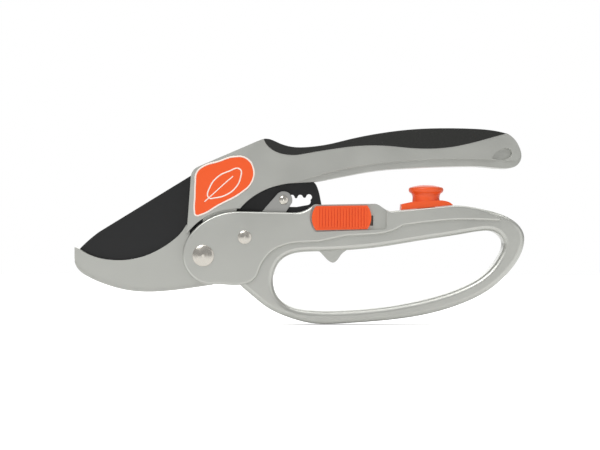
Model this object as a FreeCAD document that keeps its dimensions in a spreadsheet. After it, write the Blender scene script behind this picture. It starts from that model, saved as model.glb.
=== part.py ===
import FreeCAD, Part
import math
import os

# Ratchet anvil pruning shears, closed.  X runs along the tool from the jaw tip to the handle
# ends, Z runs up from the loop handle to the top handle, and Y is the thickness.  All outlines
# are written from the main pivot bolt; every sub-part's Placement then moves it so that the
# origin of the finished tool is the middle of its overall box.

Vector = FreeCAD.Vector
doc = FreeCAD.newDocument("PruningShears")

SIZES = {
    # overall sizes
    "jaw_length": 49.7,
    "tail_length": 29.7,
    # thickness stack, from the blade outwards
    "blade_thick": 2.8,
    "plate_gap": 0.2,
    "link_thick": 1.5,
    "tongue_thick": 2.3,
    "side_gap": 0.3,
    "cheek_wall": 2.5,
    "jaw_thick": 9.0,
    "loop_thick": 14.0,
    # main pivot
    "pivot_dia": 6.0,
    "pivot_fit": 0.05,
    "pivot_boss": 5.8,
    "pivot_head": 4.9,
    "dome_rise": 1.3,
    "nut_radius": 4.6,
    "nut_recess": 1.8,
    # link pivot, ratchet pin and drive stud
    "link_pivot_x": 18.9,
    "link_pivot_z": 8.4,
    "link_pin_dia": 3.5,
    "link_pin_head": 3.1,
    "ratchet_pin_x": 36.6,
    "ratchet_pin_z": 25.5,
    "ratchet_pin_dia": 3.0,
    "ratchet_head": 2.1,
    "ratchet_head_rise": 0.8,
    "drive_arm": 8.1,
    "drive_stud_dia": 3.0,
    "drive_slack": 0.2,
    "link_end": 4.0,
    "blade_swing": 18.0,
    # head arcs of the two castings
    "cheek_arc": 27.3,
    "arc_gap": 1.3,
    # trim
    "badge_recess": 0.7,
    "badge_thick": 0.9,
    "badge_clear": 0.1,
    "grip_half": 8.9,
    "grip_core": 5.0,
    "eyelet_depth": 2.6,
    # lock slider
    "slider_travel": 6.5,
    "slider_clear": 0.3,
    "slider_recess": 2.0,
    "slider_plate": 2.6,
    "lock_bar_thick": 2.6,
    "lock_screw_dia": 2.0,
    # bumper knob on the rail
    "knob_travel": 5.0,
    "rail_web": 4.0,
    "knob_stem_half": 2.0,
    "knob_clear": 0.2,
    "knob_half": 6.4,
    "knob_chamber_half": 4.2,
    "stop_screw_dia": 2.2,
    # rounded edges and the anvil strip
    "jaw_bevel": 0.9,
    "ring_edge": 2.2,
    "cheek_edge": 1.0,
    "edge_gap": 0.06,
    "strip_depth": 1.7,
    "strip_thick": 5.0,
}

sheet = doc.addObject("Spreadsheet::Sheet", "Sizes")
for row, (word, value) in enumerate(SIZES.items(), start=1):
    sheet.set(f"A{row}", word)
    sheet.set(f"B{row}", str(value))
    sheet.setAlias(f"B{row}", word)
doc.recompute()


def size(word):
    return float(sheet.get(word))


# Layers of the thickness stack, as expressions measured from the middle plane.
BLADE = "Sizes.blade_thick / 2"
LINK_IN = f"({BLADE} + Sizes.plate_gap)"
LINK_OUT = f"({LINK_IN} + Sizes.link_thick)"
TONGUE_IN = f"({LINK_OUT} + Sizes.plate_gap)"
TONGUE_OUT = f"({TONGUE_IN} + Sizes.tongue_thick)"
CAVITY = f"({TONGUE_OUT} + Sizes.side_gap)"
CHEEK = f"({CAVITY} + Sizes.cheek_wall)"
SLOT = f"({BLADE} + Sizes.side_gap)"
LINK_CAVITY = f"({LINK_OUT} + Sizes.ratchet_head_rise + Sizes.side_gap)"
JAW = "Sizes.jaw_thick / 2"
RELIEF = f"({JAW} + Sizes.side_gap)"
LOOP = "Sizes.loop_thick / 2"

JAW_START = -9.4        # the outline left of here belongs to the jaw
JAW_DRAWN = 49.7        # jaw length at which the stations below are written
TAIL_START = 117.0      # the outline right of here belongs to the handle tails
TAIL_DRAWN = 29.7       # tail length at which the stations below are written


def at(x, z):
    """A station of an outline, moved along X where the jaw or the tails change length."""
    if x < JAW_START:
        x = JAW_START + (x - JAW_START) * size("jaw_length") / JAW_DRAWN
    if x > TAIL_START:
        x = TAIL_START + (x - TAIL_START) * size("tail_length") / TAIL_DRAWN
    return Vector(x, z, 0)


def polar(radius, degrees, centre=(0.0, 0.0)):
    angle = math.radians(degrees)
    return (centre[0] + radius * math.cos(angle), centre[1] + radius * math.sin(angle))


def run(*stations):
    """One stretch of an outline: straight between two stations, a smooth curve through more."""
    points = [at(*station) for station in stations]
    if len(points) == 2:
        return Part.LineSegment(points[0], points[1])
    curve = Part.BSplineCurve()
    curve.interpolate(points)
    return curve


def loop(*stations):
    """A smooth closed outline through its stations, without corners."""
    curve = Part.BSplineCurve()
    curve.interpolate(Points=[at(*station) for station in stations], PeriodicFlag=True)
    return [curve]


def bend(start, middle, end):
    """One stretch of an outline: a circular arc through three stations."""
    return Part.Arc(at(*start), at(*middle), at(*end))


def polyline(*stations):
    """A closed outline of straight edges."""
    ends = list(stations[1:]) + [stations[0]]
    return [run(start, end) for start, end in zip(stations, ends)]


def round_outline(x, z, radius):
    return [Part.Circle(at(x, z), Vector(0, 0, 1), radius)]


def stadium(start, end, radius):
    """A slot outline with round ends, centred on two points."""
    length = math.hypot(end[0] - start[0], end[1] - start[1])
    along = ((end[0] - start[0]) / length, (end[1] - start[1]) / length)
    side = (-along[1] * radius, along[0] * radius)
    tip = (along[0] * radius, along[1] * radius)
    corners = [
        (start[0] + side[0], start[1] + side[1]),
        (end[0] + side[0], end[1] + side[1]),
        (end[0] - side[0], end[1] - side[1]),
        (start[0] - side[0], start[1] - side[1]),
    ]
    return [
        run(corners[0], corners[1]),
        bend(corners[1], (end[0] + tip[0], end[1] + tip[1]), corners[2]),
        run(corners[2], corners[3]),
        bend(corners[3], (start[0] - tip[0], start[1] - tip[1]), corners[0]),
    ]


def new_body(label):
    body = doc.addObject("PartDesign::Body", label)
    body.Label = label
    return body


def draw(body, name, outlines, level):
    """A sketch parallel to the XZ plane, at a level measured from the middle plane towards -Y."""
    sketch = body.newObject("Sketcher::SketchObject", f"{body.Label}_{name}_sketch")
    plane = next(item for item in body.Origin.OriginFeatures if item.Role == "XZ_Plane")
    sketch.AttachmentSupport = [(plane, "")]
    sketch.MapMode = "FlatFace"
    sketch.setExpression("AttachmentOffset.Base.z", level)
    for outline in outlines:
        sketch.addGeometry(outline, False)
    return sketch


def add_layer(body, name, outlines, low, high):
    """Material between two levels, both measured from the middle plane towards -Y."""
    pad = body.newObject("PartDesign::Pad", f"{body.Label}_{name}")
    pad.Profile = draw(body, name, outlines, low)
    pad.setExpression("Length", f"{high} - ({low})")
    doc.recompute()
    return pad


def cut_layer(body, name, outlines, low, high):
    """A pocket between two levels, both measured from the middle plane towards -Y."""
    pocket = body.newObject("PartDesign::Pocket", f"{body.Label}_{name}")
    pocket.Profile = draw(body, name, outlines, high)
    pocket.setExpression("Length", f"{high} - ({low})")
    doc.recompute()
    return pocket


def add_both(body, name, outlines, half):
    return add_layer(body, name, outlines, f"-{half}", half)


def cut_both(body, name, outlines, half):
    return cut_layer(body, name, outlines, f"-{half}", half)


def soften(body, name, base, radius):
    """Rounds the outline edges on both outer faces of a layer."""
    outer = max(abs(vertex.Y) for vertex in base.Shape.Vertexes)
    edges = []
    for index, edge in enumerate(base.Shape.Edges, start=1):
        if all(abs(abs(vertex.Y) - outer) < 1e-4 for vertex in edge.Vertexes):
            edges.append(f"Edge{index}")
    fillet = body.newObject("PartDesign::Fillet", f"{body.Label}_{name}")
    fillet.Base = (base, edges)
    fillet.setExpression("Radius", radius)
    doc.recompute()
    return fillet


def merge(body, *others):
    """Joins the solids of other bodies into this one."""
    union = body.newObject("PartDesign::Boolean", f"{body.Label}_union")
    union.Type = 0
    union.addObjects(list(others))
    doc.recompute()
    return union


# ---------------------------------------------------------------- motion of the drive train

PIVOT = (0.0, 0.0)
LINK_PIVOT = (size("link_pivot_x"), size("link_pivot_z"))
RATCHET_PIN = (size("ratchet_pin_x"), size("ratchet_pin_z"))


def heading(start, end):
    return math.degrees(math.atan2(end[1] - start[1], end[0] - start[0]))


PIVOT_SPACING = math.hypot(*LINK_PIVOT)
PIVOT_LINE = heading(PIVOT, LINK_PIVOT)
PIN_REACH = math.hypot(RATCHET_PIN[0], RATCHET_PIN[1])
PIN_LINE = heading(PIVOT, RATCHET_PIN)
OPEN_PIN = polar(PIN_REACH, PIN_LINE - size("blade_swing"))
LINK_SWING = heading(LINK_PIVOT, RATCHET_PIN) - heading(LINK_PIVOT, OPEN_PIN)
STUD_LINE = PIVOT_LINE + 180.0 + LINK_SWING / 2.0
DRIVE_STUD = polar(size("drive_arm"), STUD_LINE, LINK_PIVOT)
HANDLE_SWING = 2.0 * (PIVOT_LINE - heading(PIVOT, DRIVE_STUD))
STUD_NEAR = PIVOT_SPACING - size("drive_arm")
STUD_FAR = math.hypot(*DRIVE_STUD)

ARC_CENTRE = (15.5, -7.0)
KNOB_X = 102.1
LOCK_SCREW = (67.0, 16.0)


def on_arc(radius, x):
    return (x, ARC_CENTRE[1] + math.sqrt(radius ** 2 - (x - ARC_CENTRE[0]) ** 2))


# ---------------------------------------------------------------- shared outlines

GRIP_LOWER = [
    run((27.6, 53.3), (29.0, 50.6), (32.2, 47.9), (36.8, 46.3), (41.4, 45.9), (48.3, 46.9),
        (57.5, 48.4), (66.7, 49.7), (75.9, 50.3), (85.1, 50.0), (94.3, 49.1), (103.5, 48.8),
        (112.7, 49.5), (121.9, 51.3), (131.1, 53.8), (138.2, 55.7)),
]
GRIP_ABOVE = [
    run((138.2, 55.7), (138.2, 62.0)),
    run((138.2, 62.0), (27.6, 62.0)),
    run((27.6, 62.0), (27.6, 53.3)),
]
ANVIL_LINE = [(-57.0, 3.2), (-48.3, -1.0), (-40.0, -2.1), (-32.0, -1.5), (-25.3, 0.5),
              (-18.4, 4.0), (-13.0, 7.9)]


def anvil_curve(drop):
    return [(x, z - drop) for x, z in ANVIL_LINE]


def finger_ring():
    """Rounded closed ring of the lower handle, with the small finger stop inside it."""
    body = new_body("finger_ring")
    outer = loop((48.0, 19.6), (62.0, 21.2), (78.0, 20.6), (88.0, 20.3), (100.0, 21.5),
                 (114.0, 22.7), (121.9, 22.4), (131.1, 20.5), (140.3, 17.0), (146.3, 10.4),
                 (146.0, 3.0), (140.3, -6.7), (131.1, -15.3), (117.3, -22.3), (98.9, -27.4),
                 (80.5, -29.8), (62.0, -31.1), (50.1, -31.0), (39.1, -28.3), (29.9, -24.2),
                 (20.7, -17.0), (15.0, -11.0), (14.0, -2.0), (18.0, 8.0), (26.0, 14.0),
                 (36.0, 18.0))
    hole = loop((31.7, -12.2), (32.6, -6.7), (35.4, -2.1), (40.5, 0.8), (48.0, 1.8),
                (57.0, 2.0), (66.0, 2.5), (80.5, 3.9), (98.9, 6.9), (117.3, 9.7),
                (127.5, 11.3), (133.5, 10.6), (137.2, 6.0), (135.6, 0.2), (130.2, -7.1),
                (117.3, -15.0), (98.9, -20.7), (80.5, -23.9), (62.0, -25.3), (48.3, -25.1),
                (38.2, -22.6), (33.2, -17.9))
    soften(body, "edge", add_both(body, "bar", outer + hole, LOOP), "Sizes.ring_edge")
    return body


def finger_stop():
    body = new_body("finger_stop")
    outline = loop((52.0, 2.6), (54.4, 0.5), (57.0, -2.2), (59.3, -3.2), (61.3, -1.8),
                   (63.4, 1.0), (66.5, 3.6), (60.0, 6.0))
    add_both(body, "bump", outline, f"({LOOP} - 1.2)")
    return body


def jaw():
    """Narrow anvil jaw, its top following the line of the cutting edge."""
    body = new_body("jaw")
    drop = size("edge_gap")
    outline = [
        run((-59.1, 3.9), (-57.0, 3.2 - drop)),
        run(*anvil_curve(drop)),
        run((-13.0, 7.9 - drop), (-10.6, 10.2), (-7.9, 14.2)),
        run((-7.9, 14.2), (-6.4, 12.0)),
        run((-6.4, 12.0), (-6.4, -8.0)),
        run((-6.4, -8.0), (4.0, -13.4)),
        run((4.0, -13.4), (-6.9, -15.0), (-16.1, -16.1), (-25.3, -16.6), (-34.5, -15.9),
            (-43.7, -13.6), (-52.9, -9.7), (-57.5, -6.2), (-59.1, -3.0)),
        run((-59.1, -3.0), (-59.1, 3.9)),
    ]
    add_both(body, "bar", outline, f"({JAW} - Sizes.jaw_bevel)")
    lifted = [
        run((4.0, -11.8), (-6.9, -13.5), (-16.1, -14.6), (-25.3, -15.0), (-34.5, -14.3),
            (-43.7, -12.0), (-52.2, -8.3), (-56.5, -5.2), (-59.1, -1.4)),
        run((-59.1, -1.4), (-59.1, 3.9)),
    ]
    add_both(body, "sides", outline[:5] + [run((-6.4, -8.0), (4.0, -11.8))] + lifted, JAW)
    upper = anvil_curve(drop)[1:-1]
    lower = anvil_curve(size("strip_depth"))[1:-1]
    raised = [(x, z + 3.0) for x, z in upper]
    seat = [
        run(*raised[::-1]),
        run(raised[0], lower[0]),
        run(*lower),
        run(lower[-1], raised[-1]),
    ]
    cut_both(body, "strip_seat", seat, "Sizes.strip_thick / 2")
    return body


def lower_handle():
    """The lower casting: cheeks round the drive train, finger loop, and the anvil jaw."""
    body = new_body("lower_handle")
    arc = size("cheek_arc")
    arc_start = on_arc(arc, -7.6)
    arc_end = on_arc(arc, 16.0)
    cheek = [
        bend(arc_start, on_arc(arc, 1.5), arc_end),
        run(arc_end, (41.0, 19.7)),
        run((41.0, 19.7), (45.0, 20.2), (48.0, 21.6), (49.8, 22.9), (53.0, 23.3)),
        run((53.0, 23.3), (77.5, 23.7)),
        run((77.5, 23.7), (80.0, 23.2), (83.0, 21.2), (86.5, 20.4)),
        run((86.5, 20.4), (113.5, 22.9)),
        run((113.5, 22.9), (124.0, 21.9), (133.0, 18.8), (138.5, 15.6)),
        run((138.5, 15.6), (130.0, 16.0), (117.3, 16.2), (103.5, 15.2), (91.0, 13.6)),
        run((91.0, 13.6), (84.5, 10.6), (76.0, 9.4), (62.0, 8.2), (54.0, 6.4), (44.0, 5.8),
            (35.0, 3.8)),
        run((35.0, 3.8), (29.0, -0.6), (26.0, -5.5), (24.0, -10.0), (19.5, -12.8),
            (13.0, -13.4), (2.3, -13.2)),
        bend((2.3, -13.2), (-9.4, -0.6), arc_start),
    ]
    soften(body, "cheek_edge", add_both(body, "cheeks", cheek, CHEEK), "Sizes.cheek_edge")
    merge(body, finger_ring(), finger_stop(), jaw())
    swing = 18.4
    tongue_room = [
        bend((-6.3, 0.0), polar(6.3, 235.0), (0.0, -6.3)),
        run((0.0, -6.3), polar(swing, -12.0)),
        bend(polar(swing, -12.0), polar(swing, 15.0), polar(swing, 42.0)),
        run(polar(swing, 42.0), (20.0, 26.0)),
        run((20.0, 26.0), (-6.3, 26.0)),
        run((-6.3, 26.0), (-6.3, 0.0)),
    ]
    cut_both(body, "tongue_room", tongue_room, CAVITY)
    link_room = [
        run((13.5, -0.6), (18.0, 2.0)),
        run((18.0, 2.0), (30.0, 3.4)),
        run((30.0, 3.4), (40.5, 6.7)),
        run((40.5, 6.7), (48.2, 10.0)),
        run((48.2, 10.0), (48.2, 30.0)),
        run((48.2, 30.0), (13.5, 30.0)),
        run((13.5, 30.0), (13.5, -0.6)),
    ]
    cut_both(body, "link_room", link_room, LINK_CAVITY)
    tang_room = [
        run((30.0, 6.4), (47.0, 4.4)),
        run((47.0, 4.4), (58.6, 2.4)),
        run((58.6, 2.4), (60.4, 5.0)),
        run((60.4, 5.0), (60.4, 30.0)),
        run((60.4, 30.0), (30.0, 30.0)),
        run((30.0, 30.0), (30.0, 6.4)),
    ]
    cut_both(body, "tang_room", tang_room, SLOT)
    heel_room = polyline((-13.3, 7.4), (-8.8, 8.9), (-6.7, 1.4), (-6.2, 1.4), (-6.2, 20.0),
                         (-13.3, 20.0))
    cut_both(body, "heel_room", heel_room, SLOT)
    bar_room = polyline((60.0, 12.6), (79.6, 12.6), (79.6, 19.4), (60.0, 19.4))
    cut_both(body, "bar_room", bar_room, f"(Sizes.lock_bar_thick / 2 + {0.2})")
    recess = [
        bend((51.2, 24.5), (48.6, 17.2), (51.2, 10.9)),
        run((51.2, 10.9), (82.2, 12.0)),
        bend((82.2, 12.0), (83.2, 12.4), (83.6, 13.4)),
        run((83.6, 13.4), (83.6, 24.5)),
        run((83.6, 24.5), (51.2, 24.5)),
    ]
    cut_layer(body, "slider_recess", recess, f"{CHEEK} - Sizes.slider_recess", CHEEK)
    stem_room = polyline((62.5, 13.7), (77.5, 13.7), (77.5, 18.3), (62.5, 18.3))
    cut_layer(body, "stem_room", stem_room, "0", CHEEK)
    knob_room = polyline((92.0, 12.0), (112.0, 12.0), (112.0, 26.0), (92.0, 26.0))
    cut_both(body, "knob_slot", knob_room, "(Sizes.knob_stem_half + Sizes.knob_clear)")
    chamber = polyline((92.0, 3.0), (112.0, 3.0), (112.0, 18.6), (92.0, 16.7))
    cut_both(body, "knob_chamber", chamber, "Sizes.knob_chamber_half")
    pivot = size("pivot_dia") / 2
    cut_both(body, "pivot_bore", round_outline(0, 0, pivot), CHEEK)
    link_bore = round_outline(*LINK_PIVOT, size("link_pin_dia") / 2)
    cut_both(body, "link_bore", link_bore, CHEEK)
    nut_seat = round_outline(0, 0, size("nut_radius"))
    cut_layer(body, "nut_seat", nut_seat, f"-{CHEEK}", f"-({CHEEK} - Sizes.nut_recess)")
    rivet_seat = round_outline(*LINK_PIVOT, size("link_pin_head"))
    cut_layer(body, "rivet_seat", rivet_seat, f"-{CHEEK}", f"-({CHEEK} - 1.0)")
    return body


def blade():
    """One steel plate: cutting edge, pivot eye and the toothed tang that the ratchet pin lifts."""
    body = new_body("blade")
    eye = size("pivot_boss")
    outline = [
        run(*ANVIL_LINE[::-1]),
        run((-57.0, 3.2), (-52.9, 7.1), (-48.3, 10.8)),
        run((-48.3, 10.8), (-5.5, 37.0)),
        run((-5.5, 37.0), (0.0, 37.2), (8.0, 36.4), (18.0, 34.8), (30.0, 34.2)),
        run((30.0, 34.2), (48.6, 34.2)),
        run((48.6, 34.2), (51.0, 33.2), (52.2, 31.0), (53.2, 27.5), (54.2, 22.6)),
        run((54.2, 22.6), (53.2, 21.0), (50.0, 20.4)),
        run((50.0, 20.4), (43.5, 19.4)),
        run((43.5, 19.4), (26.0, 17.9)),
        run((26.0, 17.9), (16.5, 17.2), (12.4, 14.6)),
        run((12.4, 14.6), (8.5, 8.0), polar(eye, 5.0)),
        bend(polar(eye, 5.0), polar(eye, 270.0), polar(eye, 178.0)),
        run(polar(eye, 178.0), (-8.4, 9.4)),
        run((-8.4, 9.4), (-13.0, 7.9)),
    ]
    add_both(body, "plate", outline, BLADE)
    pivot = size("pivot_dia") / 2 + size("pivot_fit")
    cut_both(body, "pivot_bore", round_outline(0, 0, pivot), BLADE)
    window = [
        run((33.6, 22.4), (42.5, 22.3)),
        run((42.5, 22.3), (47.6, 23.2)),
        bend((47.6, 23.2), (48.9, 24.2), (48.9, 25.6)),
        bend((48.9, 25.6), (47.9, 28.1), (47.0, 27.3)),
        bend((47.0, 27.3), (46.2, 26.5), (45.4, 27.1)),
        bend((45.4, 27.1), (44.2, 27.9), (43.0, 27.0)),
        bend((43.0, 27.0), (42.3, 26.3), (41.6, 27.0)),
        bend((41.6, 27.0), (40.4, 27.9), (39.4, 27.4)),
        bend((39.4, 27.4), (36.9, 28.2), (34.4, 27.2)),
        bend((34.4, 27.2), (33.4, 24.8), (33.6, 22.4)),
    ]
    cut_both(body, "ratchet_window", window, BLADE)
    return body


def grip_core():
    """The casting's rib that the soft grip is moulded over."""
    return [
        run((77.0, 50.0), (84.0, 52.4), (94.3, 54.2), (108.1, 55.0), (120.0, 54.4), (129.0, 53.0)),
        run((129.0, 53.0), (121.0, 49.0), (103.5, 46.6), (85.0, 47.0), (77.0, 50.0)),
    ]


def arm_spine():
    """Rounded inner bar of the top handle, a little thinner than its flat sides."""
    body = new_body("arm_spine")
    outline = loop((30.0, 35.0), (36.0, 33.2), (43.7, 33.3), (51.0, 33.8), (57.5, 34.9),
                   (66.7, 36.7), (80.5, 39.0), (94.3, 40.0), (103.5, 40.5), (115.0, 40.8),
                   (128.8, 40.6), (138.0, 39.9), (143.1, 41.2), (145.1, 44.6), (144.4, 49.2),
                   (142.0, 53.2), (138.4, 55.9), (130.0, 57.0), (115.0, 56.0), (98.0, 55.0),
                   (80.0, 54.0), (64.0, 50.0), (50.0, 46.5), (38.0, 44.0), (30.0, 40.0))
    add_both(body, "bar", outline, LOOP)
    return body


def upper_handle():
    """The upper casting: head over the blade, tongue to the pivot, and the handle arm."""
    body = new_body("upper_handle")
    arc = size("cheek_arc") + size("arc_gap")
    arc_start = on_arc(arc, -7.6)
    arc_end = on_arc(arc, 16.8)
    head = [
        run(arc_start, (-6.9, 18.4), (-6.2, 28.0), (-5.6, 36.6)),
        run((-5.6, 36.6), (-4.6, 38.8), (-2.4, 40.6)),
        run((-2.4, 40.6), (26.2, 52.9)),
        run((26.2, 52.9), (32.0, 54.4)),
        run((32.0, 54.4), (44.0, 51.5), (66.7, 54.0), (90.0, 57.2), (115.0, 57.8), (138.2, 55.7)),
        run((138.2, 55.7), (142.0, 52.6), (144.4, 48.2), (144.2, 44.8), (142.0, 43.4)),
        run((142.0, 43.4), (128.8, 44.0), (115.0, 44.2), (103.5, 43.9), (89.7, 43.1),
            (75.0, 41.5), (60.0, 38.7), (50.0, 35.9), (42.0, 33.6), (37.0, 32.7),
            (29.9, 30.8), (23.0, 27.2), arc_end),
        bend(arc_end, on_arc(arc, 4.0), arc_start),
    ]
    add_both(body, "sides", head, CHEEK)
    merge(body, arm_spine())
    cut_both(body, "grip_seat", GRIP_LOWER + GRIP_ABOVE, CHEEK)
    add_both(body, "grip_core", grip_core(), "Sizes.grip_core")
    channel = [
        run((-10.0, 4.0), (-10.0, 37.9)),
        run((-10.0, 37.9), (4.0, 37.9)),
        run((4.0, 37.9), (12.0, 37.2), (22.0, 35.6), (30.0, 34.9)),
        run((30.0, 34.9), (56.5, 34.9)),
        run((56.5, 34.9), (56.5, -8.0)),
        run((56.5, -8.0), (-10.0, -8.0)),
        run((-10.0, -8.0), (-10.0, 4.0)),
    ]
    cut_both(body, "channel", channel, TONGUE_IN)
    for sign in (1, -1):
        add_tongue(body, sign)
    jaw_relief = polyline((-10.0, 4.0), (-0.9, 4.0), (-0.9, 17.6), (-10.0, 17.6))
    cut_both(body, "jaw_relief", jaw_relief, RELIEF)
    for name, low, high in (
        ("near", f"{CHEEK} - Sizes.badge_recess", CHEEK),
        ("far", f"-{CHEEK}", f"-({CHEEK} - Sizes.badge_recess)"),
    ):
        cut_layer(body, f"badge_seat_{name}", badge_outline(), low, high)
        cut_layer(body, f"eyelet_{name}", eyelet_outline(), low.replace("badge_recess", "eyelet_depth"),
                  high.replace("badge_recess", "eyelet_depth"))
    return body


def add_tongue(body, sign):
    """One side of the forked tongue: pivot eye, neck into the head, and the drive stud's slot."""
    low, high = (TONGUE_IN, TONGUE_OUT) if sign > 0 else (f"-{TONGUE_OUT}", f"-{TONGUE_IN}")
    name = "near" if sign > 0 else "far"
    boss = size("pivot_boss")
    reach = STUD_FAR + 4.4
    stud_angle = heading(PIVOT, DRIVE_STUD)
    tongue = [
        bend(polar(boss, 175.0), polar(boss, 240.0), polar(boss, 300.0)),
        run(polar(boss, 300.0), polar(reach, stud_angle - 17.0)),
        bend(polar(reach, stud_angle - 17.0), polar(reach, 20.0), polar(reach, 44.0)),
        run(polar(reach, 44.0), (15.4, 22.0)),
        run((15.4, 22.0), (15.4, 30.0)),
        run((15.4, 30.0), (-0.3, 30.0)),
        run((-0.3, 30.0), (-0.3, 15.0)),
        run((-0.3, 15.0), polar(boss, 175.0)),
    ]
    add_layer(body, f"tongue_{name}", tongue, low, high)
    stud_slot = stadium(polar(STUD_NEAR, stud_angle), polar(STUD_FAR, stud_angle),
                        size("drive_stud_dia") / 2 + size("drive_slack"))
    cut_layer(body, f"stud_slot_{name}", stud_slot, low, high)
    pivot = size("pivot_dia") / 2 + size("pivot_fit")
    cut_layer(body, f"pivot_bore_{name}", round_outline(0, 0, pivot), low, high)


def badge_outline():
    return [
        run((-4.1, 19.6), (-3.7, 32.2), (-3.3, 36.4)),
        bend((-3.3, 36.4), (-2.4, 39.0), (-0.2, 40.7)),
        run((-0.2, 40.7), (7.0, 43.1), (13.8, 45.2)),
        bend((13.8, 45.2), (20.3, 44.2), (23.1, 38.6)),
        bend((23.1, 38.6), (21.6, 32.0), (16.4, 28.2)),
        run((16.4, 28.2), (7.0, 23.1), (-1.4, 18.5)),
        bend((-1.4, 18.5), (-3.1, 18.1), (-4.1, 19.6)),
    ]


def eyelet_outline():
    return [
        run((131.8, 45.0), (134.0, 47.6), (137.6, 49.1)),
        bend((137.6, 49.1), (140.4, 47.8), (139.4, 44.6)),
        run((139.4, 44.6), (135.6, 43.6), (132.4, 44.2)),
        bend((132.4, 44.2), (131.8, 44.5), (131.8, 45.0)),
    ]


def upper_grip():
    """Soft overmoulded grip along the top handle, keyed on the casting's core."""
    body = new_body("upper_grip")
    outline = [
        *GRIP_LOWER,
        run((138.2, 55.7), (131.1, 57.2), (121.9, 57.9), (108.1, 58.1), (94.3, 57.5),
            (80.5, 55.8), (66.7, 53.1), (57.5, 50.9), (48.3, 49.6), (43.7, 49.4),
            (39.1, 49.9), (34.5, 51.4), (30.8, 53.0), (27.6, 53.3)),
    ]
    add_both(body, "pad", outline, "Sizes.grip_half")
    cut_both(body, "core_seat", grip_core(), "Sizes.grip_core")
    return body


def badge(label, low, high):
    body = new_body(label)
    add_layer(body, "plate", badge_outline(), low, high)
    return body


def link_outline():
    """Flat link: round ends at the ratchet pin and the drive stud, widest at its own pivot."""
    pin = RATCHET_PIN
    end = size("link_end")
    line = heading(LINK_PIVOT, RATCHET_PIN)
    left = line + 90.0
    stud = DRIVE_STUD
    tail = size("drive_stud_dia") / 2 + 1.3
    stud_line = STUD_LINE
    return [
        bend(polar(end, left + 5.0, pin), polar(end, line + 10.0, pin), polar(end, line - 62.0, pin)),
        run(polar(end, line - 62.0, pin), (37.4, 19.4)),
        run((37.4, 19.4), (31.0, 12.6), (26.0, 7.6), polar(end, -58.0, LINK_PIVOT)),
        run(polar(end, -58.0, LINK_PIVOT), polar(tail, stud_line + 90.0, stud)),
        bend(polar(tail, stud_line + 90.0, stud), polar(tail, stud_line, stud),
             polar(tail, stud_line - 90.0, stud)),
        run(polar(tail, stud_line - 90.0, stud), polar(end, 138.0, LINK_PIVOT)),
        run(polar(end, 138.0, LINK_PIVOT), (26.2, 19.6)),
        run((26.2, 19.6), polar(end, left + 5.0, pin)),
    ]


def link_plate(label, sign):
    """A link plate with its drive stud, which stands in the tongue's slot."""
    body = new_body(label)
    inner, outer, stud_top = LINK_IN, LINK_OUT, TONGUE_OUT
    if sign < 0:
        low, high = f"-{outer}", f"-{inner}"
        stud_low, stud_high = f"-{stud_top}", f"-{outer}"
    else:
        low, high = inner, outer
        stud_low, stud_high = outer, stud_top
    add_layer(body, "plate", link_outline(), low, high)
    stud = round_outline(*DRIVE_STUD, size("drive_stud_dia") / 2)
    add_layer(body, "stud", stud, stud_low, stud_high)
    link_bore = round_outline(*LINK_PIVOT, size("link_pin_dia") / 2 + size("pivot_fit"))
    cut_layer(body, "link_bore", link_bore, low, high)
    pin_bore = round_outline(*RATCHET_PIN, size("ratchet_pin_dia") / 2)
    cut_layer(body, "pin_bore", pin_bore, low, high)
    return body


def domed_head(body, name, centre, radius, level, rise):
    """A low dome on a rivet: a spherical cap turned about the rivet's axis."""
    cap = body.newObject("PartDesign::Revolution", f"{body.Label}_{name}")
    sketch = body.newObject("Sketcher::SketchObject", f"{body.Label}_{name}_sketch")
    plane = next(item for item in body.Origin.OriginFeatures if item.Role == "YZ_Plane")
    sketch.AttachmentSupport = [(plane, "")]
    sketch.MapMode = "FlatFace"
    sketch.AttachmentOffset = FreeCAD.Placement(Vector(0, centre[1], centre[0]), FreeCAD.Rotation())
    crown = rise * 0.65
    ball = (radius ** 2 + crown ** 2) / (2.0 * crown)
    half_way = radius / 2.0
    base = Vector(-level, 0, 0)
    rim = Vector(-level, radius, 0)
    edge = Vector(-level - rise + crown, radius, 0)
    shoulder = Vector(-level - rise + ball - math.sqrt(ball ** 2 - half_way ** 2), half_way, 0)
    top = Vector(-level - rise, 0, 0)
    sketch.addGeometry(Part.LineSegment(base, rim), False)
    sketch.addGeometry(Part.LineSegment(rim, edge), False)
    sketch.addGeometry(Part.Arc(edge, shoulder, top), False)
    sketch.addGeometry(Part.LineSegment(top, base), False)
    cap.Profile = sketch
    cap.ReferenceAxis = (sketch, ["H_Axis"])
    cap.Angle = 360
    doc.recompute()
    return cap


def value_of(expression):
    """The number that a layer expression stands for."""
    doc_cell = sheet.evalExpression(expression)
    return float(doc_cell)


def main_pivot_bolt():
    """Domed bolt through cheeks, tongue, washer, blade and spring."""
    body = new_body("main_pivot_bolt")
    radius = size("pivot_dia") / 2
    add_layer(body, "shank", round_outline(0, 0, radius), f"-({CHEEK} - 0.4)", CHEEK)
    domed_head(body, "head", PIVOT, size("pivot_head"), value_of(CHEEK), size("dome_rise"))
    return body


def main_pivot_nut():
    """Thin round nut, sunk below the far cheek."""
    body = new_body("main_pivot_nut")
    radius = size("nut_radius") - 0.1
    low, high = f"-({CHEEK} - 0.3)", f"-({CHEEK} - Sizes.nut_recess)"
    add_layer(body, "ring", round_outline(0, 0, radius), low, high)
    cut_layer(body, "thread", round_outline(0, 0, size("pivot_dia") / 2), low, high)
    return body


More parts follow.
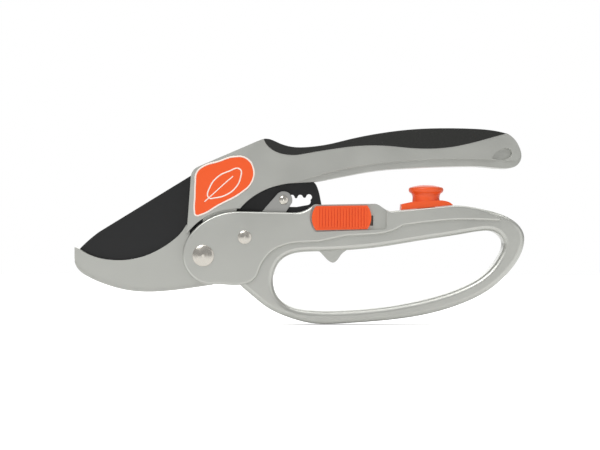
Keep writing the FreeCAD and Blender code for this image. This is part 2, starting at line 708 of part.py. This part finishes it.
def link_rivet():
    """Fixed rivet that the link turns on, flush on the far side."""
    body = new_body("link_rivet")
    radius = size("link_pin_dia") / 2
    add_layer(body, "shank", round_outline(*LINK_PIVOT, radius), f"-({CHEEK} - 0.2)", CHEEK)
    foot = round_outline(*LINK_PIVOT, size("link_pin_head") - 0.1)
    add_layer(body, "foot", foot, f"-({CHEEK} - 0.2)", f"-({CHEEK} - 1.0)")
    domed_head(body, "head", LINK_PIVOT, size("link_pin_head"), value_of(CHEEK), 1.0)
    return body


def ratchet_pin():
    """Pin through both links that lifts the teeth of the blade's window."""
    body = new_body("ratchet_pin")
    radius = size("ratchet_pin_dia") / 2
    add_both(body, "shank", round_outline(*RATCHET_PIN, radius), LINK_OUT)
    head = round_outline(*RATCHET_PIN, size("ratchet_head"))
    add_layer(body, "far_head", head, f"-({LINK_OUT} + Sizes.ratchet_head_rise)", f"-{LINK_OUT}")
    domed_head(body, "near_head", RATCHET_PIN, size("ratchet_head"), value_of(LINK_OUT),
               size("ratchet_head_rise"))
    return body


def pivot_washer():
    """Spacer between the blade's eye and the near tongue."""
    body = new_body("pivot_washer")
    low, high = f"({BLADE} + 0.05)", f"({TONGUE_IN} - 0.05)"
    add_layer(body, "ring", round_outline(0, 0, size("pivot_boss") - 0.3), low, high)
    bore = round_outline(0, 0, size("pivot_dia") / 2 + size("pivot_fit"))
    cut_layer(body, "bore", bore, low, high)
    return body


def handle_spring():
    """Torsion spring round the bolt on the far side, which opens the handles."""
    wire = 0.7
    radius = size("pivot_dia") / 2 + 0.9
    start_level = value_of(BLADE) + 0.1 + wire / 2
    turns = 1.25
    pitch = wire + 0.1
    helix = Part.makeHelix(pitch, pitch * turns, radius)
    section = Part.Wire(Part.makeCircle(wire / 2, Vector(radius, 0, 0), Vector(0, 1, 0)))
    coil = Part.Wire(helix.Edges).makePipeShell([section], True, True)
    end_angle = turns * 360.0
    end = Vector(*polar(radius, end_angle), pitch * turns)
    leg_start = Part.makeCylinder(wire / 2, 5.0, Vector(radius, 0, 0), Vector(0, -1, 0))
    leg_way = Vector(*polar(1.0, end_angle + 90.0), 0)
    leg_end = Part.makeCylinder(wire / 2, 3.0, end, leg_way)
    shape = coil.fuse([leg_start, leg_end]).removeSplitter()
    shape.rotate(Vector(0, 0, 0), Vector(1, 0, 0), -90)
    shape.translate(Vector(0, start_level, 0))
    spring = doc.addObject("Part::Feature", "handle_spring")
    spring.Label = "handle_spring"
    spring.Shape = shape.Solids[0]
    return spring


def anvil_strip():
    """Softer strip let into the jaw that the blade's edge closes on."""
    body = new_body("anvil_strip")
    upper = anvil_curve(size("edge_gap") + 0.1)[1:-1]
    lower = anvil_curve(size("strip_depth"))[1:-1]
    outline = [
        run(*upper[::-1]),
        run(upper[0], lower[0]),
        run(*lower),
        run(lower[-1], upper[-1]),
    ]
    add_both(body, "strip", outline, "Sizes.strip_thick / 2")
    return body


def lock_slider():
    """Ribbed thumb slider in the near cheek's recess, with a stem through the cheek."""
    body = new_body("lock_slider")
    clear = size("slider_clear")
    face = [
        bend((51.4, 22.6), (49.5, 17.0), (51.4, 11.6)),
        run((51.4, 11.6), (74.8, 12.1)),
        bend((74.8, 12.1), (76.6, 17.4), (74.8, 22.9)),
        run((74.8, 22.9), (51.4, 22.6)),
    ]
    low = f"({CHEEK} - Sizes.slider_recess + 0.1)"
    high = f"({CHEEK} - Sizes.slider_recess + Sizes.slider_plate)"
    add_layer(body, "face", face, low, high)
    rib_half = 0.42
    for index in range(17):
        x = 52.4 + index * 1.35
        rib = polyline((x - rib_half, 12.8), (x + rib_half, 12.8), (x + rib_half, 21.9),
                       (x - rib_half, 21.9))
        add_layer(body, f"rib_{index}", rib, high, f"{high} + 0.5")
    stem = polyline((63.0, 14.0), (70.7, 14.0), (70.7, 18.0), (63.0, 18.0))
    add_layer(body, "stem", stem, "(Sizes.lock_bar_thick / 2)", low)
    screw = round_outline(*LOCK_SCREW, size("lock_screw_dia") / 2)
    cut_layer(body, "screw_hole", screw, "(Sizes.lock_bar_thick / 2)", "4.2")
    return body


def lock_bar():
    """Steel bar on the slider's stem that runs in the body behind the tang."""
    body = new_body("lock_bar")
    outline = polyline((60.8, 13.0), (72.4, 13.0), (72.4, 19.0), (63.4, 19.0), (60.8, 17.0))
    add_both(body, "bar", outline, "Sizes.lock_bar_thick / 2")
    screw = round_outline(*LOCK_SCREW, size("lock_screw_dia") / 2)
    cut_both(body, "screw_hole", screw, "Sizes.lock_bar_thick / 2")
    return body


def lock_screw():
    """Headless slotted screw that holds the bar on the slider's stem."""
    body = new_body("lock_screw")
    x, z = LOCK_SCREW
    radius = size("lock_screw_dia") / 2
    low = "-(Sizes.lock_bar_thick / 2)"
    add_layer(body, "shank", round_outline(x, z, radius), low, "4.1")
    slot = polyline((x - 2.0, z - 0.25), (x + 2.0, z - 0.25), (x + 2.0, z + 0.25),
                    (x - 2.0, z + 0.25))
    cut_layer(body, "driver_slot", slot, low, f"{low} + 0.6")
    return body


def turned(body, name, kind, curves):
    """A shape turned about the knob's upright axis; radii are written from that axis."""
    feature = body.newObject(kind, f"{body.Label}_{name}")
    sketch = body.newObject("Sketcher::SketchObject", f"{body.Label}_{name}_sketch")
    plane = next(item for item in body.Origin.OriginFeatures if item.Role == "XZ_Plane")
    sketch.AttachmentSupport = [(plane, "")]
    sketch.MapMode = "FlatFace"
    sketch.AttachmentOffset = FreeCAD.Placement(Vector(KNOB_X, 0, 0), FreeCAD.Rotation())
    for curve in curves:
        sketch.addGeometry(curve, False)
    feature.Profile = sketch
    feature.ReferenceAxis = (sketch, ["V_Axis"])
    feature.Angle = 360
    doc.recompute()
    return feature


def stop_screw_hole():
    radius = size("stop_screw_dia") / 2
    return [
        run((0.0, 12.0), (radius, 12.0)),
        run((radius, 12.0), (radius, 22.1)),
        run((radius, 22.1), (0.0, 22.1)),
        run((0.0, 22.1), (0.0, 12.0)),
    ]


def stop_knob():
    """Waisted bumper knob whose foot slides along the rail above the finger loop."""
    body = new_body("stop_knob")
    foot = [
        run((90.3, 20.85), (114.0, 23.09)),
        run((114.0, 23.09), (112.6, 24.3), (110.6, 25.0), (108.6, 25.3)),
        run((108.6, 25.3), (95.4, 24.6)),
        run((95.4, 24.6), (90.5, 23.6)),
        run((90.5, 23.6), (90.3, 20.85)),
    ]
    add_both(body, "foot", foot, "Sizes.knob_half")
    neck = size("knob_half") - 0.1
    turned(body, "head", "PartDesign::Revolution", [
        run((0.0, 23.0), (neck, 23.0)),
        run((neck, 23.0), (neck, 25.6)),
        run((neck, 25.6), (neck - 0.1, 27.0), (neck + 0.5, 28.6)),
        run((neck + 0.5, 28.6), (neck + 1.5, 29.4), (neck + 1.5, 30.9), (neck + 0.5, 31.4)),
        run((neck + 0.5, 31.4), (4.0, 32.1), (0.0, 32.3)),
        run((0.0, 32.3), (0.0, 23.0)),
    ])
    stem = polyline((KNOB_X - 4.0, 17.75), (KNOB_X + 4.0, 17.75), (KNOB_X + 4.0, 23.5),
                    (KNOB_X - 4.0, 23.5))
    add_both(body, "stem", stem, "Sizes.knob_stem_half")
    turned(body, "screw_hole", "PartDesign::Groove", stop_screw_hole())
    return body


def stop_washer():
    """Plate below the rail's web that holds the knob down."""
    body = new_body("stop_washer")
    outline = polyline((KNOB_X - 4.0, 16.0), (KNOB_X + 4.0, 16.0), (KNOB_X + 4.0, 17.6),
                       (KNOB_X - 4.0, 16.85))
    add_both(body, "plate", outline, "(Sizes.knob_chamber_half - 0.4)")
    turned(body, "screw_hole", "PartDesign::Groove", stop_screw_hole())
    return body


def stop_screw():
    """Screw from below, through the plate into the knob's stem."""
    body = new_body("stop_screw")
    radius = size("stop_screw_dia") / 2
    head = size("stop_screw_dia") * 1.05
    turned(body, "screw", "PartDesign::Revolution", [
        run((0.0, 14.5), (head - 0.3, 14.5)),
        run((head - 0.3, 14.5), (head, 14.8)),
        run((head, 14.8), (head, 16.0)),
        run((head, 16.0), (radius, 16.0)),
        run((radius, 16.0), (radius, 22.0)),
        run((radius, 22.0), (0.0, 22.0)),
        run((0.0, 22.0), (0.0, 14.5)),
    ])
    return body


def finish(parts):
    """Checks every object, centres the tool on its overall box and writes the STEP files."""
    doc.recompute()
    for item in doc.Objects:
        if "Invalid" in item.State or "Error" in item.State:
            raise RuntimeError(f"{item.Label}: {item.State}")
    box = FreeCAD.BoundBox()
    for part in parts:
        if part.Shape.isNull() or not part.Shape.isValid():
            raise RuntimeError(f"{part.Label}: bad shape")
        box.add(part.Shape.optimalBoundingBox(True, False))
    centre = box.Center
    for part in parts:
        shift = FreeCAD.Placement(centre.negative(), FreeCAD.Rotation())
        part.Placement = shift.multiply(part.Placement)
    doc.recompute()
    os.makedirs("parts", exist_ok=True)
    for part in parts:
        part.Shape.exportStep(f"parts/{part.Label}.step")
    print("centre", round(centre.x, 4), round(centre.y, 4), round(centre.z, 4))
    print("size", round(box.XLength, 3), round(box.YLength, 3), round(box.ZLength, 3))
    print("link pivot", LINK_PIVOT, "ratchet pin", RATCHET_PIN, "stud", DRIVE_STUD)
    print("handle swing", HANDLE_SWING, "link swing", LINK_SWING, "blade swing", size("blade_swing"))
    for part in parts:
        print(part.Label, len(part.Shape.Solids), round(part.Shape.Volume, 1))


def main():
    parts = [
        lower_handle(),
        blade(),
        upper_handle(),
        upper_grip(),
        badge("badge_near", f"({CHEEK} - Sizes.badge_recess)",
              f"({CHEEK} - Sizes.badge_recess + Sizes.badge_thick)"),
        badge("badge_far", f"-({CHEEK} - Sizes.badge_recess + Sizes.badge_thick)",
              f"-({CHEEK} - Sizes.badge_recess)"),
        link_plate("link_plate_near", 1),
        link_plate("link_plate_far", -1),
        ratchet_pin(),
        link_rivet(),
        main_pivot_bolt(),
        main_pivot_nut(),
        pivot_washer(),
        handle_spring(),
        anvil_strip(),
        lock_slider(),
        lock_bar(),
        lock_screw(),
        stop_knob(),
        stop_washer(),
        stop_screw(),
    ]
    finish(parts)


main()
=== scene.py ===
import math

import bpy
from bpy.props import FloatProperty, FloatVectorProperty, PointerProperty
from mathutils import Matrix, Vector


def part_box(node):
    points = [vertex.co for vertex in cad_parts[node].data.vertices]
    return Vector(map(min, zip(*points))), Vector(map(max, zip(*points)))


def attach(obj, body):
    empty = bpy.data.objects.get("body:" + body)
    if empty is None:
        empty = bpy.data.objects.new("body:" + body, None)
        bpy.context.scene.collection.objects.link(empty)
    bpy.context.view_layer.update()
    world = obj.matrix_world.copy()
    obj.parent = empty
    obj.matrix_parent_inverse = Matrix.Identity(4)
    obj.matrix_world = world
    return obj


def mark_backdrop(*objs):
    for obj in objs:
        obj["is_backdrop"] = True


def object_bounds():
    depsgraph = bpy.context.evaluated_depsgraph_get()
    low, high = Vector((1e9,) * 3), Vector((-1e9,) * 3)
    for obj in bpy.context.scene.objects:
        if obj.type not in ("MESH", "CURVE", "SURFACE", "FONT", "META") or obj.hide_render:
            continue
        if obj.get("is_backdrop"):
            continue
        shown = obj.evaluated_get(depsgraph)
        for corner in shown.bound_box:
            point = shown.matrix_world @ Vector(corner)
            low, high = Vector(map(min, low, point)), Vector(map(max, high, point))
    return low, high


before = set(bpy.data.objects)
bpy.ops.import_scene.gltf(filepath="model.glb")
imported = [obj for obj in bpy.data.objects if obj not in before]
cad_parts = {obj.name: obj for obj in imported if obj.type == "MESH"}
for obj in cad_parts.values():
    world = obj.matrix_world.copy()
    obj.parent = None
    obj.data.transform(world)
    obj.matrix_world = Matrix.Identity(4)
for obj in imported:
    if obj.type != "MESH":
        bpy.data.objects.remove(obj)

bl_info = {
    "name": "Pruning shears",
    "version": (1, 0, 0),
    "blender": (4, 5, 0),
    "location": "View3D > Sidebar > Shears",
    "description": "Gives a ratchet anvil pruner its cast, coated, moulded and plated surfaces",
    "category": "Object",
}

MM = 0.001
WELD_DISTANCE = 0.002 * MM
FLAT_ANGLE = math.radians(0.4)
SHARP_ANGLE = math.radians(38)
PRINT_DEPTH = 0.2 * MM
FLOOR_SIZE = 1.7
FLOOR_GAP = 0.5 * MM
FIELD_WIDTH = 0.276
CAMERA_LENS = 110
CAMERA_SENSOR = 36
CAMERA_SHIFT = (0.3 * MM, 0.6 * MM)


class ShearsSettings(bpy.types.PropertyGroup):
    edge_round: FloatProperty(
        name="Casting edge", description="Radius of the rounded edges of the castings",
        default=1.3 * MM, unit="LENGTH")
    trim_round: FloatProperty(
        name="Trim edge", description="Radius of the rounded edges of the moulded trim",
        default=0.45 * MM, unit="LENGTH")
    grip_round: FloatProperty(
        name="Grip edge", description="Radius of the rounded edges of the soft grip",
        default=2.6 * MM, unit="LENGTH")
    cast_grain: FloatProperty(
        name="Casting grain", description="Spacing of the fine bumps under the silver lacquer",
        default=0.55 * MM, unit="LENGTH")
    grip_cell: FloatProperty(
        name="Grip cell", description="Spacing of the moulded pips in the soft grip",
        default=1.9 * MM, unit="LENGTH")
    badge_rim: FloatProperty(
        name="Badge rim", description="Thickness of the pale rim round the badge",
        default=0.5 * MM, unit="LENGTH")
    floor_colour: FloatVectorProperty(
        name="Floor", description="Colour of the plain studio floor",
        default=(0.93, 0.93, 0.93), subtype="COLOR")


def settings():
    return bpy.context.scene.shears


def linear(colour):
    """Linear RGBA of an sRGB hex colour."""
    channels = [int(colour[i:i + 2], 16) / 255 for i in (1, 3, 5)]
    return [c / 12.92 if c <= 0.04045 else ((c + 0.055) / 1.055) ** 2.4 for c in channels] + [1.0]


def node(material, kind, **values):
    """Adds one shader node and sets its inputs. A value that is a socket is linked."""
    added = material.node_tree.nodes.new(kind)
    for key, value in values.items():
        name = key.replace("_", " ")
        if isinstance(value, bpy.types.NodeSocket):
            feed(material, value, added.inputs[name])
        else:
            added.inputs[name].default_value = value
    return added


def surface(name, **values):
    """A material with its Principled shader set up."""
    material = bpy.data.materials.new(name)
    material.use_nodes = True
    shader = material.node_tree.nodes["Principled BSDF"]
    for key, value in values.items():
        shader.inputs[key.replace("_", " ")].default_value = value
    return material, shader


def feed(material, socket, target):
    material.node_tree.links.new(socket, target)


def place(material):
    return node(material, "ShaderNodeTexCoord").outputs["Object"]


def ramp(material, factor, low, high, dark, light):
    """Maps a grey value between two levels to two other levels."""
    mapped = node(material, "ShaderNodeMapRange", Value=factor)
    for key, value in (("From Min", low), ("From Max", high), ("To Min", dark), ("To Max", light)):
        mapped.inputs[key].default_value = value
    return mapped.outputs["Result"]


def cast_silver():
    """Die-cast aluminium under satin silver lacquer: metal flake gives a broad soft sheen, the
    lacquer a faint clear highlight, and the fine orange peel keeps large faces from looking flat."""
    material, shader = surface(
        "Silver lacquered die casting", Base_Color=linear("#C3C4BE"), Metallic=0.8,
        Roughness=0.34, Coat_Weight=0.25, Coat_Roughness=0.18)
    grain = node(material, "ShaderNodeTexNoise", Vector=place(material),
                 Scale=1.0 / settings().cast_grain / 2, Detail=2.0)
    flow = node(material, "ShaderNodeTexNoise", Vector=place(material), Scale=60.0, Detail=3.0)
    feed(material, ramp(material, flow.outputs["Fac"], 0.3, 0.7, 0.30, 0.40), shader.inputs["Roughness"])
    bump = node(material, "ShaderNodeBump", Strength=0.12, Distance=0.00003,
                Height=grain.outputs["Fac"])
    feed(material, bump.outputs["Normal"], shader.inputs["Normal"])
    return material


def coated_steel():
    """Black fluoropolymer sprayed on steel: nearly black, softly shiny, with a very fine tooth."""
    material, shader = surface(
        "Black coated blade steel", Base_Color=linear("#0F1011"), Metallic=0.0, Roughness=0.38)
    tooth = node(material, "ShaderNodeTexNoise", Vector=place(material), Scale=1800.0, Detail=2.0)
    bump = node(material, "ShaderNodeBump", Strength=0.1, Distance=0.00002,
                Height=tooth.outputs["Fac"])
    feed(material, bump.outputs["Normal"], shader.inputs["Normal"])
    return material


def grip_rubber():
    """Moulded thermoplastic rubber: dull black with rows of small raised pips that catch the
    light as grey dots along the middle of the grip."""
    material, shader = surface(
        "Black soft-touch rubber", Base_Color=linear("#151612"), Roughness=0.6)
    cells = node(material, "ShaderNodeTexVoronoi", Vector=place(material),
                 Scale=1.0 / settings().grip_cell, Randomness=0.15)
    dome = ramp(material, cells.outputs["Distance"], 0.15, 0.5, 1.0, 0.0)
    bump = node(material, "ShaderNodeBump", Strength=0.7, Distance=0.0003, Height=dome)
    feed(material, bump.outputs["Normal"], shader.inputs["Normal"])
    return material


def orange_plastic():
    """Injection-moulded orange ABS from a fine-sparked mould: even colour, semi-gloss."""
    material, shader = surface(
        "Orange moulded plastic", Base_Color=linear("#EF5A20"), Roughness=0.33)
    grain = node(material, "ShaderNodeTexNoise", Vector=place(material), Scale=900.0, Detail=1.0)
    bump = node(material, "ShaderNodeBump", Strength=0.08, Distance=0.00002,
                Height=grain.outputs["Fac"])
    feed(material, bump.outputs["Normal"], shader.inputs["Normal"])
    return material


def plated_steel():
    """Barrel-polished, nickel-plated steel: bright with faint smears from handling."""
    material, shader = surface(
        "Nickel-plated steel", Base_Color=linear("#CFCBC2"), Metallic=1.0, Roughness=0.2)
    smear = node(material, "ShaderNodeTexNoise", Vector=place(material), Scale=420.0, Detail=3.0)
    feed(material, ramp(material, smear.outputs["Fac"], 0.3, 0.7, 0.14, 0.30), shader.inputs["Roughness"])
    return material


def stamped_steel():
    """Tumbled stamped steel plate: satin grey with fine rolled grain along the plate."""
    material, shader = surface(
        "Stamped steel plate", Base_Color=linear("#B9B9B6"), Metallic=1.0, Roughness=0.36)
    grain = node(material, "ShaderNodeTexNoise", Vector=place(material), Scale=700.0, Detail=2.0)
    feed(material, ramp(material, grain.outputs["Fac"], 0.3, 0.7, 0.30, 0.44), shader.inputs["Roughness"])
    return material


def grey_plastic():
    """Hard grey nylon of the anvil strip, matte from the mould."""
    return surface("Grey nylon", Base_Color=linear("#8D8E8C"), Roughness=0.5)[0]


def pale_rim():
    """White ink of the badge's border and leaf: matte enough to read as print, not as metal."""
    return surface("White printed border", Base_Color=linear("#F4E6DC"), Roughness=0.4)[0]


def studio_paper():
    """Matte white paper sweep: it glows a little for the camera alone, so that it reads as evenly
    lit without adding light to the underside of the tool."""
    material, shader = surface("Matte studio paper", Roughness=0.9,
                               Base_Color=[*settings().floor_colour, 1.0],
                               Emission_Color=(1, 1, 1, 1))
    path = node(material, "ShaderNodeLightPath")
    glow = ramp(material, path.outputs["Is Camera Ray"], 0.0, 1.0, 0.0, 0.5)
    feed(material, glow, shader.inputs["Emission Strength"])
    return material


# Outlines of the print, in mm from the main pivot. PIVOT_AT is the pivot's place in the frame.
PIVOT_AT = (-43.818, -13.406)
BADGE_EDGE = ((-4.0, 20.5), (-3.8, 27.0), (-3.6, 33.0), (-3.0, 37.8), (0.0, 40.7), (7.0, 43.0),
              (13.8, 45.1), (19.6, 44.4), (22.8, 40.0), (22.2, 33.8), (17.2, 28.7), (7.0, 23.1),
              (-1.0, 18.7), (-3.4, 18.5))
LEAF = ((2.5, 26.5), (3.2, 31.5), (6.5, 35.8), (11.5, 38.4), (16.8, 39.4), (17.0, 35.5),
        (14.6, 30.8), (10.2, 27.6), (5.6, 26.4))
LEAF_VEIN = ((0.6, 24.6), (4.6, 28.2), (9.4, 32.6), (13.6, 36.2))


def smooth_curve(name, stations, side, closed):
    """A smooth curve through stations, sunk a little in the outer face of a badge on one side."""
    curve = bpy.data.curves.new(name, "CURVE")
    curve.dimensions = "3D"
    spline = curve.splines.new("BEZIER")
    spline.bezier_points.add(len(stations) - 1)
    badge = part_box("badge_near" if side < 0 else "badge_far")
    level = (badge[0][1] if side < 0 else badge[1][1]) - side * PRINT_DEPTH
    for point, (x, z) in zip(spline.bezier_points, stations):
        point.co = ((x + PIVOT_AT[0]) * MM, level, (z + PIVOT_AT[1]) * MM)
        point.handle_left_type = "AUTO"
        point.handle_right_type = "AUTO"
    spline.use_cyclic_u = closed
    piece = bpy.data.objects.new(name, curve)
    bpy.context.scene.collection.objects.link(piece)
    return piece


def printed_line(name, stations, side, closed, width, material):
    """A raised line: the curve with a thin round section, sunk in the badge's outer face."""
    piece = smooth_curve(name, stations, side, closed)
    piece.data.bevel_depth = width / 2
    piece.data.bevel_resolution = 3
    piece.data.materials.append(material)
    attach(piece, "upper_handle")
    return piece


def dress(name, material, radius):
    """Gives a CAD node its material and rounds its sharp edges."""
    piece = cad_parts.get(name)
    if piece is None:
        raise RuntimeError(f"no piece {name}")
    piece.data.materials.clear()
    piece.data.materials.append(material)
    weld = piece.modifiers.new("Join", "WELD")
    weld.merge_threshold = WELD_DISTANCE
    if radius:
        flat = piece.modifiers.new("Flat faces", "DECIMATE")
        flat.decimate_type = "DISSOLVE"
        flat.angle_limit = FLAT_ANGLE
        bevel = piece.modifiers.new("Edges", "BEVEL")
        bevel.width = radius
        bevel.segments = 3
        bevel.limit_method = "ANGLE"
        bevel.angle_limit = SHARP_ANGLE
        bevel.harden_normals = True
    return piece


class SHEARS_OT_castings(bpy.types.Operator):
    """Finish both die-cast handles in silver lacquer"""
    bl_idname = "shears.castings"
    bl_label = "Castings"

    def execute(self, context):
        silver = cast_silver()
        for name in ("lower_handle", "upper_handle"):
            dress(name, silver, settings().edge_round)
        return {"FINISHED"}


class SHEARS_OT_blade(bpy.types.Operator):
    """Coat the blade and finish the anvil strip under it"""
    bl_idname = "shears.blade"
    bl_label = "Blade and anvil"

    def execute(self, context):
        dress("blade", coated_steel(), 0.3 * MM)
        dress("anvil_strip", grey_plastic(), 0.0)
        return {"FINISHED"}


class SHEARS_OT_grip(bpy.types.Operator):
    """Mould the soft grip on the top handle"""
    bl_idname = "shears.grip"
    bl_label = "Grip"

    def execute(self, context):
        dress("upper_grip", grip_rubber(), settings().grip_round)
        return {"FINISHED"}


class SHEARS_OT_trim(bpy.types.Operator):
    """Finish the orange badges, slider and knob"""
    bl_idname = "shears.trim"
    bl_label = "Orange trim"

    def execute(self, context):
        orange = orange_plastic()
        for name in ("badge_near", "badge_far", "lock_slider", "stop_knob"):
            dress(name, orange, 0.15 * MM if name == "lock_slider" else settings().trim_round)
        return {"FINISHED"}


class SHEARS_OT_badges(bpy.types.Operator):
    """Print the white border and the leaf outline on both badges"""
    bl_idname = "shears.badges"
    bl_label = "Badge print"

    def execute(self, context):
        white = pale_rim()
        rim = settings().badge_rim
        for side, word in ((-1, "near"), (1, "far")):
            printed_line(f"badge_border_{word}", BADGE_EDGE, side, True, rim * 1.6, white)
            printed_line(f"badge_leaf_{word}", LEAF, side, True, rim * 1.5, white)
            printed_line(f"badge_vein_{word}", LEAF_VEIN, side, False, rim * 1.3, white)
        return {"FINISHED"}


class SHEARS_OT_steel(bpy.types.Operator):
    """Plate the rivets and finish the stamped steel pieces"""
    bl_idname = "shears.steel"
    bl_label = "Steel"

    def execute(self, context):
        plated = plated_steel()
        for name in ("main_pivot_bolt", "main_pivot_nut", "link_rivet", "ratchet_pin",
                     "lock_screw", "stop_screw"):
            dress(name, plated, 0.15 * MM)
        stamped = stamped_steel()
        for name in ("link_plate_near", "link_plate_far", "pivot_washer", "lock_bar",
                     "stop_washer"):
            dress(name, stamped, 0.2 * MM)
        dress("handle_spring", stamped, 0.0)
        return {"FINISHED"}


def light(name, energy, size, position, target):
    lamp = bpy.data.lights.new(name, "AREA")
    lamp.energy = energy
    lamp.size = size
    piece = bpy.data.objects.new(name, lamp)
    bpy.context.scene.collection.objects.link(piece)
    piece.location = position
    aim(piece, target)
    return piece


def aim(piece, target):
    """Points an object's -Z axis at a place."""
    constraint = piece.constraints.new("TRACK_TO")
    constraint.target = target
    constraint.track_axis = "TRACK_NEGATIVE_Z"
    constraint.up_axis = "UP_Y"


class SHEARS_OT_stage(bpy.types.Operator):
    """Set up the pale floor, the soft studio light and the camera"""
    bl_idname = "shears.stage"
    bl_label = "Studio"

    def execute(self, context):
        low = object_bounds()[0]
        scene = context.scene
        target = bpy.data.objects.new("Aim", None)
        scene.collection.objects.link(target)
        bpy.ops.mesh.primitive_plane_add(size=FLOOR_SIZE, location=(0, 0, low[2] - FLOOR_GAP))
        floor = context.object
        floor.name = "Floor"
        floor.data.materials.append(studio_paper())
        lights = [
            light("Key", 2.7, 0.35, (-0.3, -0.5, 0.55), target),
            light("Fill", 0.7, 0.6, (0.6, -0.5, 0.1), target),
            light("Top", 2.4, 0.5, (0.1, 0.05, 0.6), target),
            light("Back", 1.4, 0.6, (0.1, 0.7, 0.3), target),
        ]
        world = bpy.data.worlds.new("Studio")
        world.use_nodes = True
        path = node(world, "ShaderNodeLightPath")
        seen = ramp(world, path.outputs["Is Camera Ray"], 0.0, 1.0, 0.42, 1.0)
        background = world.node_tree.nodes["Background"]
        background.inputs["Color"].default_value = (1, 1, 1, 1)
        feed(world, seen, background.inputs["Strength"])
        scene.world = world
        camera = bpy.data.objects.new("Camera", bpy.data.cameras.new("Camera"))
        scene.collection.objects.link(camera)
        camera.data.lens = CAMERA_LENS
        camera.data.sensor_width = CAMERA_SENSOR
        distance = FIELD_WIDTH * CAMERA_LENS / CAMERA_SENSOR
        camera.location = (CAMERA_SHIFT[0], -distance, CAMERA_SHIFT[1])
        camera.rotation_euler = (math.radians(90), 0, 0)
        scene.camera = camera
        scene.view_settings.view_transform = "Standard"
        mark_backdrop(floor, *lights)
        return {"FINISHED"}


PIECES = (SHEARS_OT_castings, SHEARS_OT_blade, SHEARS_OT_grip, SHEARS_OT_trim, SHEARS_OT_badges,
          SHEARS_OT_steel, SHEARS_OT_stage)


class SHEARS_PT_panel(bpy.types.Panel):
    """Steps that finish the shears"""
    bl_label = "Shears"
    bl_idname = "SHEARS_PT_panel"
    bl_space_type = "VIEW_3D"
    bl_region_type = "UI"
    bl_category = "Shears"

    def draw(self, context):
        for key in ShearsSettings.__annotations__:
            self.layout.prop(context.scene.shears, key)
        for piece in PIECES:
            self.layout.operator(piece.bl_idname)


CLASSES = (ShearsSettings, *PIECES, SHEARS_PT_panel)


def register():
    for cls in CLASSES:
        bpy.utils.register_class(cls)
    bpy.types.Scene.shears = PointerProperty(type=ShearsSettings)


def unregister():
    del bpy.types.Scene.shears
    for cls in reversed(CLASSES):
        bpy.utils.unregister_class(cls)


def main():
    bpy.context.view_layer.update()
    register()
    bpy.ops.shears.castings()
    bpy.ops.shears.blade()
    bpy.ops.shears.grip()
    bpy.ops.shears.trim()
    bpy.ops.shears.badges()
    bpy.ops.shears.steel()
    bpy.ops.shears.stage()


if __name__ == "__main__":
    main()
